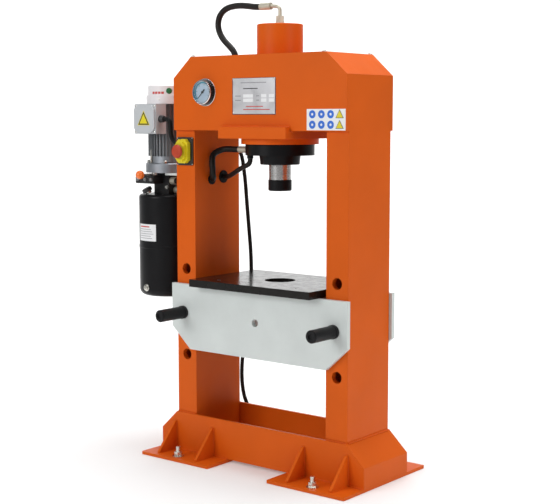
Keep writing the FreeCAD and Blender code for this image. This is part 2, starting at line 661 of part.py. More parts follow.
def tube(label, route, radius):
    """A round tube along straight runs joined by tangent arcs, each as large as its runs allow."""
    points = [Vector(*point) for point in route]
    runs = [end - start for start, end in zip(points, points[1:])]
    lengths = [run.Length for run in runs]
    edges, radii, start = [], [], points[0]
    for i, corner in enumerate(points[1:-1]):
        before = runs[i].normalize()
        after = Vector(runs[i + 1]).normalize()
        half_turn = before.getAngle(after) / 2
        reach = 0.45 * min(lengths[i], lengths[i + 1])
        bend = reach / math.tan(half_turn)
        inward = Vector(after - before).normalize()
        arc_start, arc_end = corner - before * reach, corner + after * reach
        arc_middle = corner + inward * (bend / math.cos(half_turn) - bend)
        edges.append(Part.LineSegment(start, arc_start).toShape())
        edges.append(Part.Arc(arc_start, arc_middle, arc_end).toShape())
        radii.append(bend)
        start = arc_end
    edges.append(Part.LineSegment(start, points[-1]).toShape())
    path = Part.Wire(edges)
    section = Part.Wire(Part.makeCircle(radius, points[0], points[1] - points[0]))
    shape = path.makePipeShell([section], True, False)
    expected = math.pi * radius ** 2 * path.Length
    print(f"{label}: {path.Length:.0f} mm long, volume {shape.Volume / expected:.4f} of section x length,",
          "radii", " ".join(f"{bend:.0f}" for bend in radii))
    if abs(shape.Volume / expected - 1) > 0.01:
        raise RuntimeError(f"{label} has the wrong volume")
    feature = doc.addObject("Part::Feature", label)
    feature.Label = label
    feature.Shape = shape
    return feature


# The hoses are bound at both ends. Their last stretch runs inside the left upright to the pump.
ADVANCE_ROUTE = [
    (-84, 0, 1541), (-104, 0, 1541), (-140, 0, 1547), (-184, 0, 1551), (-236, 0, 1545), (-268, 0, 1519),
    (-274, 0, 1480), (-254, 0, 1443), (-224, 0, 1418), (-200, 0, 1397), (-190, 0, 1369),
    (-201, 0, 1338), (-233, 0, 1324), (-271, 0, 1326), (-306, 0, 1311), (-324, 0, 1274),
    (-322, 0, 1210), (-319, 0, 1110), (-322, 0, 1010), (-319, 0, 960), (-326, 0, 930),
    (-342, 0, 914), (-474, 0, 914)]
RETRACT_ROUTE = [
    (-159, 0, 1064), (-200, 0, 1064), (-226, -1, 1065), (-248, -7, 1064), (-269, -37, 1048),
    (-259, -50, 1018), (-257, -50, 998), (-257, -50, 979), (-262, -39, 963), (-281, -31, 960),
    (-325, -29, 955), (-372, -31, 950), (-412, -29, 947), (-442, -20, 948), (-474, -20, 948)]
RETURN_ROUTE = [
    (-88, -50, 1036), (-88, -50, 1023), (-100, -49, 1014), (-118, -45, 1008), (-140, -39, 1001),
    (-172, -24, 989),
    (-206, -6, 978), (-240, 14, 969), (-268, 29, 967), (-300, 31, 966), (-338, 30, 950),
    (-370, 30, 946), (-410, 29, 943), (-442, 20, 946), (-474, 20, 946)]
CONDUIT_ROUTE = [
    (-452, -100, 1168), (-432, -100, 1168), (-410, -100, 1166), (-407, -100, 1142),
    (-406, -100, 1116), (-401, -97, 1096), (-386, -93, 1084), (-366, -92, 1084), (-354, -92, 1084)]
LEAD_ROUTE = [
    (-321.5, 138, 1062), (-323, 158, 1061), (-326, 179, 1050), (-328, 193, 1026),
    (-325, 197, 990), (-316, 195, 945), (-307, 191, 880), (-295, 189, 780), (-283, 188, 670),
    (-284, 189, 560),
    (-300, 191, 460), (-319, 190, 360), (-330, 189, 270), (-332, 190, 205), (-327, 197, 143),
    (-312, 213, 92), (-284, 238, 47), (-246, 262, 17), (-197, 284, 7), (-146, 299, 7),
    (-96, 304, 7), (-56, 300, 7)]


def make_hoses():
    for label, route, radius in (("advance_hose", ADVANCE_ROUTE, "hose_r"),
                                 ("retract_hose", RETRACT_ROUTE, "hose_r"),
                                 ("return_hose", RETURN_ROUTE, "return_r"),
                                 ("conduit", CONDUIT_ROUTE, "conduit_r"),
                                 ("mains_lead", LEAD_ROUTE, "lead_r")):
        nodes.append(tube(label, route, SIZE[radius]))


def make_fittings():
    """Union, bent pipe and ferrule on the cylinder's top, and the two fittings on the gland."""
    adapter = prism("adapter_hex", "XY", [hexagon(0, 0, 15)], "barrel_top", "barrel_top + 10", False)
    pad(adapter, "XY", [(0, 0, "port_r")], "barrel_top - 20", "barrel_top")
    swivel = prism("swivel_nut", "XY", [hexagon(0, 0, 14)], "barrel_top + 10", "barrel_top + 28", False)
    bend = tube("bent_pipe", [(0, 0, 1507), (0, 0, 1538), (-38, 0, 1541)], SIZE["elbow_r"])
    collar = turned("pipe_collar", [(0, 0), (12, 0), (12, 5), (0, 5)], False)
    place(collar, -38, 0, 1541, LEFTWARD)
    ferrule = turned("top_ferrule", [(0, 0), ("ferrule_r", 0), ("ferrule_r", 39), ("hose_r", 41),
                                     (0, 41)], False)
    place(ferrule, -43, 0, 1541, LEFTWARD)
    side_union = turned("side_union", [(0, -20), ("elbow_r", -20), ("elbow_r", 1), (12, 1), (12, 8),
                                       (8, 9), (8, 15), (0, 15)], False)
    place(side_union, "-gland_r", 0, "retract_z", LEFTWARD)
    side_ferrule = turned("side_ferrule", [(0, 0), ("ferrule_r - 1.5", 0), ("ferrule_r - 1.5", 28),
                                           (0, 28)], False)
    place(side_ferrule, "-gland_r - 15", 0, "retract_z", LEFTWARD)
    drop_union = turned("drop_union", [(0, "boss_low + 19"), (10, "boss_low + 19"), (10, "gland_low"),
                                       ("elbow_r - 1", "gland_low"), ("elbow_r - 1", "gland_low + 12"),
                                       (0, "gland_low + 12")], False)
    place(drop_union, -88, -50, 0)
    pieces = [adapter, swivel, bend, collar, ferrule, side_union, side_ferrule, drop_union]
    for name, y, z, bore in (("advance_union", 0, "advance_z", "hose_r"),
                             ("retract_union", -20, 948, "hose_r"),
                             ("return_union", 20, 946, "return_r")):
        union = turned(name, [(bore, 5), ("union_r", 5), ("union_r", "union_long"), (bore, "union_long")],
                       False)
        pad(union, "XY", [(0, 0, "union_r")], 0, 5)
        place(union, "unit_x + pump_half", y, z, RIGHTWARD)
        pieces.append(union)
    group("hose_fittings", pieces)

    def grommet(name, hole, lip, bore, wall):
        return turned(name, [(bore, "-lip_thick"), (lip, "-lip_thick"), (lip, 0), (hole, 0),
                             (hole, wall), (bore, wall)], False)

    inner = grommet("retract_grommet", "grommet_r", "grommet_lip", "hose_r", "post_side_wall")
    place(inner, "-post_in", "retract_y", "retract_wall_z", LEFTWARD)
    small = grommet("return_grommet", "return_grommet_r", "return_lip", "return_r", "post_side_wall")
    place(small, "-post_in", "return_y", "return_wall_z", LEFTWARD)
    top = grommet("head_grommet", "grommet_r", "grommet_lip", "hose_r + 1.7", "cover_thick")
    place(top, "head_hose_x", 0, "head_top", FreeCAD.Rotation(Vector(1, 0, 0), 180))
    pieces = [inner, small, top]
    large, little = ("grommet_r", "grommet_lip"), ("return_grommet_r", "return_lip")
    for name, rim, bore, y, z in (("advance_wall_grommet", large, "hose_r", 0, "advance_z"),
                                  ("retract_wall_grommet", large, "hose_r", "retract_y", "retract_out_z"),
                                  ("return_wall_grommet", little, "return_r", "return_y", "return_out_z"),
                                  ("conduit_grommet", large, "conduit_r", "conduit_y", "conduit_z")):
        outer = grommet(name, *rim, bore, "post_side_wall")
        place(outer, "-post_out", y, z, RIGHTWARD)
        pieces.append(outer)
    group("hose_grommets", pieces)


# ---------------------------------------------------------------- pressure gauge

def make_gauge():
    pivot = "1.5"
    case = turned("gauge_case", [
        (f"{pivot} + run_gap", 0), ("gauge_flange", 0), ("gauge_flange", 2), ("gauge_flange - 1", 3),
        ("gauge_neck", 3), ("gauge_neck", 9), ("gauge_bezel", 9),
        ("gauge_bezel", "gauge_deep - 2"), ("gauge_bezel - 2", "gauge_deep"),
        ("gauge_face", "gauge_deep"), ("gauge_face", 13), (f"{pivot} + run_gap", 13)])
    place(case, "gauge_x", "-head_face", "gauge_z", FORWARD)
    glass = turned("gauge_glass", [(0, 18), ("gauge_face - 0.2", 18), ("gauge_face - 0.2", 20),
                                   (0, 20)])
    place(glass, "gauge_x", "-head_face", "gauge_z", FORWARD)

    # The needle's tip points left along its own X axis and is turned down to zero on the dial.
    needle = prism("gauge_needle", "XY", [[(-29, -0.6), (-4, -1.6), (4, -2.4), (13, -2.4),
                                           (13, 2.4), (4, 2.4), (-4, 1.6), (-29, 0.6)]], 14, 15.2)
    pad(needle, "XY", [(0, 0, 4)], 13.5, 16.5)
    pad(needle, "XY", [(0, 0, pivot)], 4, 13.5)
    place(needle, "gauge_x", "-head_face", "gauge_z",
          FreeCAD.Rotation(Vector(0, 1, 0), -45).multiply(FORWARD))


# ---------------------------------------------------------------- control switch

def make_switch():
    at = dict(x="-post_mid", z="switch_z")
    base = prism("switch_base", "XZ", [cut_corners("plate_half", "plate_high", 4)],
                 "-plate_face", "-post_deep")
    pad(base, "XZ", [rectangle("-core_half", "-core_high", "core_half", "core_high")],
        "-core_face", "-plate_face")
    pocket(base, "XZ", [(0, "start_up", "start_r + fit_gap")], "-core_face - 1", "-core_face + 12")
    place(base, **at)
    start = turned("start_button", [(0, 0), ("start_r", 0), ("start_r", 7), ("start_r - 1", 8), (0, 8)])
    place(start, "-post_mid", "-core_face + 5", "switch_z + start_up", FORWARD)

    inside = cut_corners("(flap_half - flap_wall)", "(flap_high - flap_wall)", "(flap_corner - 3)")
    flap = prism("switch_flap", "XZ", [cut_corners("flap_half", "flap_high", "flap_corner")],
                 "-flap_face", "-flap_back")
    pad(flap, "YZ", [("-flap_back", "flap_high", "flap_pivot")], "flap_corner - flap_half",
        "flap_half - flap_corner")
    pad(flap, "XZ", [cut_corners("(flap_half - 5)", "(flap_high - 8)", "flap_corner")],
        "-flap_crown", "-flap_face")
    pocket(flap, "XZ", [inside], "-flap_face + flap_wall", "-flap_back + 1")
    pocket(flap, "XZ", [(0, 0, "stop_stem + 0.4")], "-flap_crown - 1", "-flap_back")
    place(flap, **at)
    stop = turned("stop_button", [
        (0, -9), ("stop_stem", -9), ("stop_stem", 6), ("stop_r - 4", 6), ("stop_r", 9),
        ("stop_r", 12), ("stop_r - 3", 16), ("stop_r - 9", 17), (0, 17)])
    place(stop, "-post_mid", "-flap_crown", "switch_z", FORWARD)


# ---------------------------------------------------------------- power unit

def gear_outline(x, y, first):
    """Twelve straight-sided teeth. The first one's middle is at the angle given in degrees."""
    corners = []
    for tooth in range(12):
        middle = first + 30 * tooth
        for radius, off in (("gear_root", -8.5), ("gear_tip", -3), ("gear_tip", 3), ("gear_root", 8.5)):
            corners.append(around(x, y, radius, middle + off))
    return corners


def make_motor():
    frame = turned("motor_housing", [
        ("stator_bore", "frame_low"), ("stator_r", "frame_low"), ("stator_r", "frame_top"),
        ("shaft_r + run_gap", "frame_top"), ("shaft_r + run_gap", "frame_top - shield"),
        ("stator_bore", "frame_top - shield")])
    fin = pad(frame, "XY", [rectangle("stator_r - 1", "-fin_half", "fin_r", "fin_half")],
              "frame_low", "frame_top")
    repeat_round(frame, fin, 36)
    place(frame, "unit_x")

    cowl = turned("motor_cowl", [
        ("cowl_ring - cowl_wall", "frame_top"), ("cowl_ring", "frame_top"),
        ("cowl_ring", "cowl_seam"), ("cowl_r", "cowl_seam"), ("cowl_r", "cowl_top - 6"),
        ("cowl_r - 6", "cowl_top"), (0, "cowl_top"), (0, "cowl_top - cowl_wall"),
        ("cowl_r - 7", "cowl_top - cowl_wall"), ("cowl_r - cowl_wall", "cowl_top - 8"),
        ("cowl_r - cowl_wall", "cowl_seam - 1"), ("cowl_ring - cowl_wall", "cowl_seam - 1")])
    doc.recompute()
    slot = pocket(cowl, "XY", [rectangle(22, -2.5, 54, 2.5)], "cowl_top - cowl_wall - 1",
                  "cowl_top + 1")
    repeat_round(cowl, slot, 16)
    place(cowl, "unit_x")

    rotor = turned("motor_rotor", [
        (0, "gear_low + fit_gap"), ("spindle_r", "gear_low + fit_gap"),
        ("spindle_r", "shaft_low"), ("shaft_r", "shaft_low"), ("shaft_r", "rotor_low"),
        ("stator_bore - fit_gap", "rotor_low"), ("stator_bore - fit_gap", "rotor_top"),
        ("shaft_r", "rotor_top"), ("shaft_r", "fan_low"), ("fan_hub", "fan_low"),
        ("fan_hub", "fan_top"), (0, "fan_top")])
    blade = pad(rotor, "XY", [rectangle("fan_hub - 1", -1.5, "fan_r", 1.5)], "fan_low", "fan_top")
    repeat_round(rotor, blade, 7)
    place(rotor, "unit_x")

    flange = turned("motor_flange", [
        ("shaft_r + run_gap", "plate_low"), ("mount_r", "plate_low"), ("mount_r", "bell_low - 3"),
        ("mount_r - 3", "bell_low"), ("bell_r", "bell_low"), ("bell_r", "frame_low"),
        ("shaft_r + run_gap", "frame_low")])
    place(flange, "unit_x")


def make_terminal_box():
    box = prism("terminal_box", "XZ", [rectangle("-box_half", "box_low", "box_half", "box_top")],
                "-box_front", "-box_back")
    pad(box, "XZ", [rectangle("-neck_half", "box_low + 12", "neck_half", "box_top - 12")],
        "-box_back", "-neck_back")
    pad(box, "YZ", [(-100, 1168, 12)], "box_half", "box_half + 3")
    pocket(box, "XZ", [rectangle("-box_half + 4", "box_low + 4", "box_half - 4", "box_top - 4")],
           "-box_front - 1", "-box_back - 4")
    place(box, "unit_x + box_off")
    lid = prism("terminal_lid", "XZ", [rectangle("-box_half", "box_low", "box_half", "box_top")],
                "-box_front - 5", "-box_front")
    pad(lid, "XZ", [cut_corners("(box_half - 3)", "(box_half - 3)", "lid_corner", "(box_low + box_half)")],
        "-lid_front", "-box_front - 5")
    place(lid, "unit_x + box_off")


def make_pump():
    block = prism("pump_block", "XY", [rectangle("-pump_half", "-pump_half", "pump_half", "pump_half")],
                  "pump_low", "plate_low")
    pocket(block, "XY", [(0, 0, "shaft_r + 1")], "gear_low", "plate_low + 1")
    room = [rectangle("-gear_room", "-gear_room", "gear_apart + gear_room", "gear_room")]
    pocket(block, "XY", room, "gear_low", "gear_top + 1")
    pad(block, "XY", [("gear_apart", 0, "spindle_r - run_gap")], "gear_low", "gear_top")
    place(block, "unit_x")

    gap = "gear_low + fit_gap"
    drive = prism("drive_gear", "XY", [gear_outline(0, 0, 0), (0, 0, "spindle_r")], gap, "gear_top")
    place(drive, "unit_x")
    idler = prism("idler_gear", "XY", [gear_outline(0, 0, 15), (0, 0, "spindle_r")], gap, "gear_top")
    place(idler, "unit_x + gear_apart")


def make_valve():
    body = prism("valve_body", "XY",
                 [rectangle("valve_left", "valve_front", "valve_right", "-pump_half")],
                 "valve_low", "valve_top")
    pocket(body, "XY", [("lever_x", "lever_y", "spindle_r + run_gap")], "valve_top - 20",
           "valve_top + 1")
    soften(body, 3, lambda e: e.Length > 25 and abs(e.tangentAt(e.FirstParameter).x) > 0.9, "Chamfer")

    lever = prism("valve_lever", "XY", [("0", "0", "lever_hub")], "valve_top + fit_gap", "lever_z + 4.2")
    pad(lever, "XY", [(0, 0, "spindle_r")], "valve_top - 18", "valve_top + fit_gap")
    pad(lever, "XZ", [(0, "lever_z", "lever_rod")], "knob_y - lever_y", "4 - lever_hub")
    place(lever, "lever_x", "lever_y")

    ball = doc.addObject("Part::Sphere", "knob_ball")
    bind(ball, "Radius", "knob_r")
    place(ball, "lever_x", "knob_y", "lever_z")
    hole = doc.addObject("Part::Cylinder", "knob_hole")
    bind(hole, "Radius", "lever_rod")
    bind(hole, "Height", "knob_r + 2")
    place(hole, "lever_x", "knob_y", "lever_z", BACKWARD)
    knob = doc.addObject("Part::Cut", "lever_knob")
    knob.Label = "lever_knob"
    knob.Base = ball
    knob.Tool = hole
    nodes.append(knob)


def make_tank():
    wall = "tank_wall"
    tank = turned("oil_tank", [
        (0, "tank_low"), ("tank_r", "tank_low"), ("tank_r", "tank_band - 5"),
        ("tank_r + 1", "tank_band - 4"), ("tank_r + 1", "tank_band + 4"),
        ("tank_r", "tank_band + 5"), ("tank_r", "pump_low"), (0, "pump_low"),
        (0, f"pump_low - {wall}"), (f"tank_r - {wall}", f"pump_low - {wall}"),
        (f"tank_r - {wall}", f"tank_low + {wall}"), (0, f"tank_low + {wall}")])
    soften(tank, "tank_round", lambda e: is_ring(e, SIZE["tank_low"], SIZE["tank_r"]))
    soften(tank, "tank_shoulder", lambda e: is_ring(e, SIZE["pump_low"], SIZE["tank_r"]))
    place(tank, "unit_x")

    # The filler leans out to the front left, so that a funnel clears the valve above it.
    lean = FreeCAD.Rotation(Vector(0, 0, 1), Vector(-0.30, -0.38, 0.88))
    cap = turned("filler_cap", [
        (0, 11), ("filler_r", 11), ("filler_r", 22), ("filler_r - 3", 25), (0, 25)])
    place(cap, "filler_x", "filler_y", "filler_z", lean)
    neck = turned("filler_neck", [(0, 4), ("filler_neck", 4), ("filler_neck", 10.6), (0, 10.6)])
    place(neck, "filler_x", "filler_y", "filler_z", lean)


def make_bracket():
    bracket = prism("unit_bracket", "XY",
                    [rectangle("unit_x + pump_half", "-bracket_half", "-post_out", "bracket_half")],
                    "shelf_low", "plate_low")
    pad(bracket, "XY", [rectangle("-post_out - bracket_thick", "-bracket_half", "-post_out",
                                  "bracket_half")], "plate_low", "bracket_top")


# ---------------------------------------------------------------- mains lead

def make_mains():
    gland = turned("mains_gland", [
        ("lead_r", 0), (15, 0), (15, 8), (12, 9), (12, "gland_long - 5"), (9, "gland_long"),
        ("lead_r", "gland_long")])
    place(gland, "-post_mid", "post_deep", "lead_z", BACKWARD)
    coil = prism("mains_coil", "XY", [(0, 0, "coil_out"), (0, 0, "coil_in")], 0, "coil_high")
    place(coil, 0, "coil_y")
    plug = turned("mains_plug", [
        (0, 0), (9, 0), (11, 30), ("plug_r - 8", 38), ("plug_r - 4", 46), ("plug_r - 4", 92),
        ("plug_r", 94), ("plug_r", 138), (0, 138)])
    place(plug, 62, "plug_y", "plug_r", RIGHTWARD)


make_uprights()
make_head()
make_base()
make_table()
make_cylinder()
make_ram()
make_hoses()
make_fittings()
make_gauge()
make_switch()
make_motor()
make_terminal_box()
make_pump()
make_valve()
make_tank()
make_bracket()
make_mains()
doc.recompute()


# ---------------------------------------------------------------- checks and export

for thing in doc.Objects:
    if "Invalid" in thing.State or "Error" in thing.State:
        raise RuntimeError(f"{thing.Label} failed: {thing.State}")
for piece in nodes:
    if piece.Shape.isNull() or not piece.Shape.isValid():
        raise RuntimeError(f"{piece.Label} has no valid shape")

os.makedirs(NODE_FOLDER, exist_ok=True)
for old in os.listdir(NODE_FOLDER):
    os.remove(os.path.join(NODE_FOLDER, old))
for piece in nodes:
    piece.Shape.exportStep(os.path.join(NODE_FOLDER, piece.Label + ".step"))
print(len(nodes), "nodes written")
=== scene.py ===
import bpy
import math
import random
from mathutils import Matrix, Vector


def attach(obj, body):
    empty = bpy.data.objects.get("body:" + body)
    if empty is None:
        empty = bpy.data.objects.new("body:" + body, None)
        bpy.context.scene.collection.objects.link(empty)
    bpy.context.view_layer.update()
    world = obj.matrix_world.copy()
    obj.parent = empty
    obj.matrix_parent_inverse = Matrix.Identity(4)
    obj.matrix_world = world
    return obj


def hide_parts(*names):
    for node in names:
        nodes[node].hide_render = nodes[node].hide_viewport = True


# Look of the hydraulic shop press, in metres, in the same frame as its CAD model.

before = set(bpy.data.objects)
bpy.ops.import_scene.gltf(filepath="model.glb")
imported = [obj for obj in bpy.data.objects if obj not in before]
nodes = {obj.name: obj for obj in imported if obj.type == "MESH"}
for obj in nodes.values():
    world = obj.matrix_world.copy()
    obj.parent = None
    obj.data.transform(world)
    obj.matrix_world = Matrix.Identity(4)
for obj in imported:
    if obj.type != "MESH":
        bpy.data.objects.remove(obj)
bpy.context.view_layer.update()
scene = bpy.context.scene
dice = random.Random(7)

# Faces and centres that several pieces share.
HEAD_FACE = -0.128
DIAL_FACE = -0.141
FLAP_CROWN = -0.149
BASE_FACE = -0.120
GAUGE_X, GAUGE_Z = -0.2185, 1.257
SWITCH_X, SWITCH_Z = -0.3215, 1.058
UNIT_X = -0.515
BOX_X = -0.507
PLATE_THICK = 0.0008
RIPPLE = 0.0035


# ---------------------------------------------------------------- materials

def material(name, color, rough=0.4, metallic=0.0, bevel=0.0, coat=0.0, vary=0.06, patch=9.0,
             bump=0.0, grain=(400, 400, 400), rough_vary=0.05, dirt=0.0, specular=0.5):
    """A plain surface with slow colour patches, uneven gloss, fine bumps and softened edges."""
    made = bpy.data.materials.new(name)
    made.use_nodes = True
    tree = made.node_tree
    shader = tree.nodes["Principled BSDF"]
    shader.inputs["Metallic"].default_value = metallic
    shader.inputs["Coat Weight"].default_value = coat
    shader.inputs["Coat Roughness"].default_value = 0.18
    shader.inputs["Specular IOR Level"].default_value = specular
    where = tree.nodes.new("ShaderNodeTexCoord")

    def noise(scale, detail, stretch=(1, 1, 1)):
        mapping = tree.nodes.new("ShaderNodeMapping")
        mapping.inputs["Scale"].default_value = stretch
        tree.links.new(where.outputs["Object"], mapping.inputs["Vector"])
        texture = tree.nodes.new("ShaderNodeTexNoise")
        texture.inputs["Scale"].default_value = scale
        texture.inputs["Detail"].default_value = detail
        tree.links.new(mapping.outputs["Vector"], texture.inputs["Vector"])
        return texture.outputs["Fac"]

    ramp = tree.nodes.new("ShaderNodeValToRGB")
    low, high = ramp.color_ramp.elements
    low.position, high.position = 0.32, 0.68
    low.color = (*[c * (1 - vary - dirt) for c in color], 1)
    high.color = (*[min(1, c * (1 + vary)) for c in color], 1)
    tree.links.new(noise(patch, 5), ramp.inputs["Fac"])
    tree.links.new(ramp.outputs["Color"], shader.inputs["Base Color"])

    gloss = tree.nodes.new("ShaderNodeMapRange")
    gloss.inputs["From Min"].default_value = 0.3
    gloss.inputs["From Max"].default_value = 0.7
    gloss.inputs["To Min"].default_value = max(0.02, rough - rough_vary)
    gloss.inputs["To Max"].default_value = rough + rough_vary
    tree.links.new(noise(patch * 3, 4), gloss.inputs["Value"])
    tree.links.new(gloss.outputs["Result"], shader.inputs["Roughness"])

    normal = None
    if bevel:
        soft = tree.nodes.new("ShaderNodeBevel")
        soft.samples = 4
        soft.inputs["Radius"].default_value = bevel
        normal = soft.outputs["Normal"]
    if bump:
        relief = tree.nodes.new("ShaderNodeBump")
        relief.inputs["Strength"].default_value = bump
        relief.inputs["Distance"].default_value = 0.0006
        tree.links.new(noise(1, 3, grain), relief.inputs["Height"])
        if normal is not None:
            tree.links.new(normal, relief.inputs["Normal"])
        normal = relief.outputs["Normal"]
    if normal is not None:
        tree.links.new(normal, shader.inputs["Normal"])
    return made


ORANGE = material("orange paint", (0.66, 0.106, 0.0055), 0.44, bevel=0.0018, vary=0.035, patch=5,
                  bump=0.12, grain=(220, 220, 220), dirt=0.02, specular=0.12)
WELD = material("painted weld", (0.66, 0.095, 0.003), 0.42, bump=0.3, grain=(260, 260, 260),
                specular=0.2)
GREY = material("grey paint", (0.64, 0.685, 0.67), 0.42, bevel=0.0015, vary=0.03, bump=0.1,
                grain=(240, 240, 240), dirt=0.02, specular=0.35)
OILED = material("oiled steel", (0.012, 0.011, 0.010), 0.20, metallic=0.24, specular=0.26,
                 bevel=0.0008, vary=0.25, patch=14, bump=0.10, grain=(30, 700, 700), rough_vary=0.06)
BLACK = material("black paint", (0.006, 0.006, 0.007), 0.33, bevel=0.001, bump=0.06,
                 grain=(260, 260, 260), specular=0.16)
CASTING = material("black casting", (0.010, 0.010, 0.011), 0.38, bevel=0.0012, bump=0.3,
                   grain=(500, 500, 500))
PIN = material("blackened pin", (0.008, 0.008, 0.009), 0.42, bevel=0.001, bump=0.35,
               grain=(900, 900, 900), specular=0.18)
ZINC = material("zinc plate", (0.66, 0.65, 0.60), 0.27, metallic=1, bevel=0.0004, vary=0.1, patch=60,
                bump=0.06)
BRASSY = material("yellow zinc", (0.50, 0.47, 0.38), 0.42, metallic=0.45, bevel=0.0004, vary=0.1,
                  patch=60, bump=0.06)
CHROME = material("hard chrome", (0.78, 0.78, 0.79), 0.12, metallic=1, bevel=0.0005, vary=0.03,
                  bump=0.05, grain=(60, 60, 1500), rough_vary=0.03)
ROD = material("worn chrome", (0.60, 0.59, 0.58), 0.26, metallic=0.9, bevel=0.0005, vary=0.05,
               bump=0.05, grain=(60, 60, 1500), rough_vary=0.04)
BARE = material("bare steel", (0.42, 0.42, 0.42), 0.34, metallic=1, vary=0.1, patch=30, bump=0.1,
                grain=(60, 60, 900))
HOSE = material("hose rubber", (0.013, 0.012, 0.011), 0.45, specular=0.2, bump=0.35,
                grain=(700, 700, 700), vary=0.2, patch=30)
RUBBER = material("soft rubber", (0.010, 0.010, 0.010), 0.55, bump=0.2, specular=0.12)
DARK_PLASTIC = material("black plastic", (0.018, 0.018, 0.02), 0.45, bevel=0.0006, bump=0.25,
                        grain=(1200, 1200, 1200))
YELLOW = material("yellow plastic", (0.74, 0.62, 0.012), 0.36, bevel=0.0008, vary=0.03, bump=0.05)
RED = material("red plastic", (0.44, 0.050, 0.020), 0.42, specular=0.25, bevel=0.0012, vary=0.05,
               patch=40, bump=0.06)
GREEN = material("green plastic", (0.02, 0.30, 0.07), 0.35, bevel=0.0008, vary=0.05)
KNOB = material("orange plastic", (0.86, 0.17, 0.015), 0.28, vary=0.03, coat=0.3)
COWL = material("pale grey paint", (0.80, 0.775, 0.785), 0.36, bevel=0.001, vary=0.03, bump=0.08)
BOX_GREY = material("grey box", (0.50, 0.52, 0.54), 0.38, bevel=0.001, vary=0.03, bump=0.12,
                    grain=(700, 700, 700))
FINS = material("cast fins", (0.23, 0.24, 0.255), 0.44, metallic=0.6, bevel=0.0004, vary=0.12, patch=20,
                bump=0.2)
CAST = material("cast aluminium", (0.31, 0.33, 0.36), 0.42, metallic=0.9, bevel=0.0008, vary=0.08,
                patch=25, bump=0.25, grain=(500, 500, 500))
PLATE = material("brushed plate", (0.62, 0.62, 0.64), 0.34, metallic=0.85, vary=0.04, bump=0.12,
                 grain=(40, 900, 900))
DIAL = material("dial white", (0.46, 0.56, 0.66), 0.45, vary=0.01)
DIAL_BLUE = material("dial blue", (0.06, 0.26, 0.36), 0.45, vary=0.02)
INK = material("dark ink", (0.02, 0.02, 0.022), 0.5, vary=0.05)
PALE_INK = material("grey ink", (0.28, 0.28, 0.30), 0.5, vary=0.05)
RED_INK = material("red ink", (0.55, 0.05, 0.04), 0.5, vary=0.05)
LABEL = material("white label", (0.80, 0.81, 0.82), 0.42, vary=0.02)
SIGN_BLUE = material("sign blue", (0.015, 0.14, 0.62), 0.40, vary=0.04)
BADGE = material("badge green", (0.015, 0.15, 0.05), 0.35, vary=0.05)
PLUG_RED = material("plug red", (0.48, 0.02, 0.02), 0.38, bevel=0.001, vary=0.05, bump=0.06)

GLASS = bpy.data.materials.new("gauge glass")
GLASS.use_nodes = True
clear = GLASS.node_tree.nodes["Principled BSDF"]
clear.inputs["Base Color"].default_value = (0.97, 0.99, 1.0, 1)
clear.inputs["Roughness"].default_value = 0.02
clear.inputs["Transmission Weight"].default_value = 1.0
clear.inputs["IOR"].default_value = 1.1

FINISH = {
    ORANGE: "upright_left upright_right head_front_plate head_rear_plate head_cover cylinder_plate "
            "base_front_plate base_rear_plate base_end_plates foot_plates foot_gussets "
            "cylinder_barrel",
    GREY: "table_front_plate table_rear_plate table_spacers unit_bracket",
    OILED: "table_top_plate",
    BLACK: "oil_tank ram_nose gland_flange",
    CASTING: "pump_block valve_body",
    PIN: "table_pin_left table_pin_right",
    ZINC: "foot_bolts gland_screws filler_neck table_screws valve_lever",
    BRASSY: "hose_fittings",
    CHROME: "gauge_case",
    ROD: "ram_rod",
    BARE: "piston drive_gear idler_gear motor_rotor",
    HOSE: "advance_hose retract_hose return_hose",
    RUBBER: "rod_seals piston_seals hose_grommets mains_lead mains_coil conduit",
    DARK_PLASTIC: "switch_base mains_gland filler_cap",
    INK: "gauge_needle",
    YELLOW: "switch_flap",
    RED: "stop_button",
    GREEN: "start_button",
    KNOB: "lever_knob",
    COWL: "motor_cowl",
    BOX_GREY: "terminal_box terminal_lid",
    FINS: "motor_housing",
    CAST: "motor_flange",
    PLUG_RED: "mains_plug",
    GLASS: "gauge_glass",
}
for finish, names in FINISH.items():
    for name in names.split():
        nodes[name].data.materials.clear()
        nodes[name].data.materials.append(finish)


# ---------------------------------------------------------------- making small pieces

def solid(name, corners, faces, finish, body="frame", smooth=False):
    mesh = bpy.data.meshes.new(name)
    mesh.from_pydata([tuple(c) for c in corners], [], faces)
    mesh.materials.append(finish)
    mesh.validate()
    mesh.update()
    if smooth:
        mesh.shade_smooth()
    made = bpy.data.objects.new(name, mesh)
    scene.collection.objects.link(made)
    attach(made, body)
    return made


def prism(name, outline, low, high, finish, matrix=None, body="frame"):
    """Fill an outline in the local X-Y plane from low to high along local Z."""
    count = len(outline)
    corners = [Vector((x, y, level)) for level in (low, high) for x, y in outline]
    if matrix is not None:
        corners = [matrix @ corner for corner in corners]
    faces = [tuple(reversed(range(count))), tuple(range(count, 2 * count))]
    faces += [(i, (i + 1) % count, (i + 1) % count + count, i + count) for i in range(count)]
    return solid(name, corners, faces, finish, body)


def ring_points(radius, count=40, start=0.0):
    return [(radius * math.cos(start + 2 * math.pi * i / count),
             radius * math.sin(start + 2 * math.pi * i / count)) for i in range(count)]


def lathe(name, outline, finish, matrix, body="frame", count=48):
    """Turn (radius, height) points about local Z, into a solid of revolution or a closed ring."""
    corners, faces, rows = [], [], len(outline)
    is_ring = outline[0][0] > 0
    for radius, height in outline:
        corners += [matrix @ Vector((x, y, height)) for x, y in ring_points(max(radius, 1e-5), count)]
    for row in range(rows if is_ring else rows - 1):
        above = (row + 1) % rows
        for i in range(count):
            beside = (i + 1) % count
            faces.append((row * count + i, row * count + beside, above * count + beside, above * count + i))
    made = solid(name, corners, faces, finish, body, smooth=True)
    edges = made.modifiers.new("edges", "EDGE_SPLIT")
    edges.split_angle = math.radians(35)
    return made


